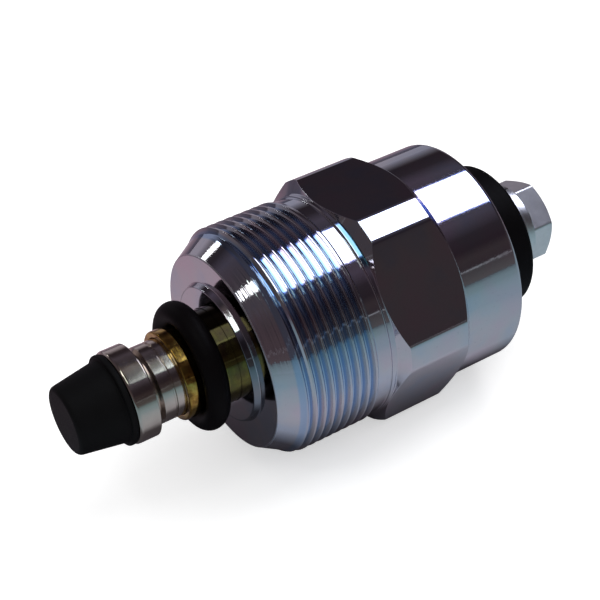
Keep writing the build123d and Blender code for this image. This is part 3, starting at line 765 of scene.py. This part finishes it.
def addFloor(settings):
    # A flat grid. The camera sees it pale and lifted. Gloss sees other, darker colours, a painted fall-off of
    # light that follows the distance from the part from 0 to 2 m, with painted shade under the part.
    u = np.linspace(-2500, 2500, 5)
    x, y = np.meshgrid(u, u, indexing="ij")
    points = np.stack([x, y, np.full_like(x, settings["floorHeight"])], axis=-1).reshape(-1, 3)
    s = Shader("paleFloor")
    x, y, z, r, here = s.places()
    grain = s.noise(here, 0.05, 2.0)
    c = settings["floorColour"]
    seen = s.mix(grain, c, tuple(0.985 * v for v in c))
    distance = (x * x + y * y) ** 0.5 / 2000.0
    behind = s.add("MapRange", {}, {"Value": y, "From Min": 0.0, "From Max": 16.0})
    ahead = s.ramp(distance, *settings["floorMirror"])
    mirrored = s.mix(behind, ahead, s.ramp(distance, *settings["floorBehind"]))
    # Painted shade under the part, which only gloss sees.
    under = s.band(x, -32.0, 26.0, 3.0) * s.band(y, -9.0, 8.0, 2.0)
    mirrored = s.mix(under * 0.85, mirrored, settings["floorUnderShade"])
    shade = s.mix(s.add("LightPath", {}, {}, "Is Glossy Ray"), seen, mirrored)
    lift = s.mix(s.add("LightPath", {}, {}, "Is Camera Ray"), (0.0, 0.0, 0.0), (settings["floorLift"],) * 3)
    finish = s.finish(Base_Color=shade, Roughness=0.9, Specular_IOR_Level=0.0, Emission_Color=lift,
                      Emission_Strength=1.0)
    floor = addPiece("floor", points, gridFaces(5, 5, False, False)[:, ::-1], finish)
    return floor


def glossOnly(item):
    # A card that is seen in metal and gloss, and that neither lights the set nor shades it.
    for kind in ("camera", "diffuse", "transmission", "shadow", "volume_scatter"):
        setattr(item, "visible_" + kind, False)


def addTent(settings):
    # A dark dome that gloss sees in place of the white world, glowing with painted reflections: its grey
    # follows the height over the radius, lilac low down on the +Y side and an even grey towards -X.
    lift = np.radians(np.linspace(0, 90, 46))[:, None]
    way = np.linspace(0, turn, 96, endpoint=False)[None, :]
    radius = settings["radius"]
    points = np.stack([radius * np.cos(lift) * np.cos(way), radius * np.cos(lift) * np.sin(way),
                       radius * np.sin(lift) + 0 * way + studio["floorHeight"]], axis=-1).reshape(-1, 3)
    s = Shader("paintedReflectionDome")
    x, y, z, r, here = s.places()
    height = z / radius
    shade = s.ramp(height, *settings["shades"])
    side = s.add("MapRange", {}, {"Value": y / radius, "From Min": 0.55, "From Max": 0.9})
    low = s.add("MapRange", {}, {"Value": height, "From Min": 0.42, "From Max": 0.20})
    shade = s.mix(side * low, shade, settings["side"])
    ahead = s.add("MapRange", {}, {"Value": x / radius, "From Min": -0.35, "From Max": -0.6})
    shade = s.mix(ahead * 0.7, shade, settings["ahead"])
    glossOnly(addPiece("darkTent", points, gridFaces(46, 96, False, True), s.shine(shade)))


def addCard(name, xs, ys, height, colour, level):
    # A level card between two x and two y, in metres, facing down and seen by gloss alone.
    points = np.array([(xs[0], ys[0], height), (xs[0], ys[1], height), (xs[1], ys[1], height),
                       (xs[1], ys[0], height)]) / mm
    glossOnly(addPiece(name, points, np.array([[0, 1, 2, 3]]), Shader(name).shine(colour, level)))


def addBox(name, box):
    # A soft box as an area lamp. Its level is the brightness of its face, so power = pi * area * level.
    data = bpy.data.lights.new(name, "AREA")
    data.shape = "RECTANGLE"
    data.size, data.size_y = box["size"]
    data.energy = np.pi * box["size"][0] * box["size"][1] * box["level"]
    item = bpy.data.objects.new(name, data)
    item.location = box["centre"]
    if box.get("facing"):
        item.rotation_euler = Vector(box["centre"]).to_track_quat("Z", "X").to_euler()
    item.visible_camera = False
    bpy.context.scene.collection.objects.link(item)
    if box.get("rim"):
        # A blue rim around the box, on a card just above it.
        xs, ys = (np.array([-0.5, 0.5]) * size + middle + rim for size, middle, rim in
                  zip(box["size"], box["centre"], box["rim"]))
        addCard(name + "Rim", xs, ys, box["centre"][2] + 0.002, box["rimColour"], box["rimLevel"])


def addWorld(level):
    # Pale all round. Camera, gloss and transmission rays get plain white from it, but the dark tent stands
    # in front of it for gloss, so the metal doesn't show that white.
    s = Shader("paleRoom", "worlds")
    direct, gloss, through = (s.add("LightPath", {}, {}, "Is " + kind + " Ray")
                              for kind in ("Camera", "Glossy", "Transmission"))
    seen = s.calc("MAXIMUM", s.calc("MAXIMUM", direct, gloss), through)
    strength = s.add("MapRange", {}, {"Value": seen, "To Min": level, "To Max": 1.0})
    s.add("OutputWorld", {}, {"Surface": s.add("Background", {}, {"Strength": strength})})
    bpy.context.scene.world = s.owner


addFloor(studio)
addTent(tent)
addBox("rightBox", studio["rightBox"])
for card in studio["glow"]:
    addCard("boxGlow", card["x"], card["y"], studio["rightBox"]["centre"][2] - 0.001, card["colour"],
            card["level"])
addBox("leftBox", studio["leftBox"])
addBox("rearBox", studio["rearBox"])
addWorld(studio["fill"])
bpy.context.scene.view_settings.view_transform = "Standard"
print("stage: studio set")
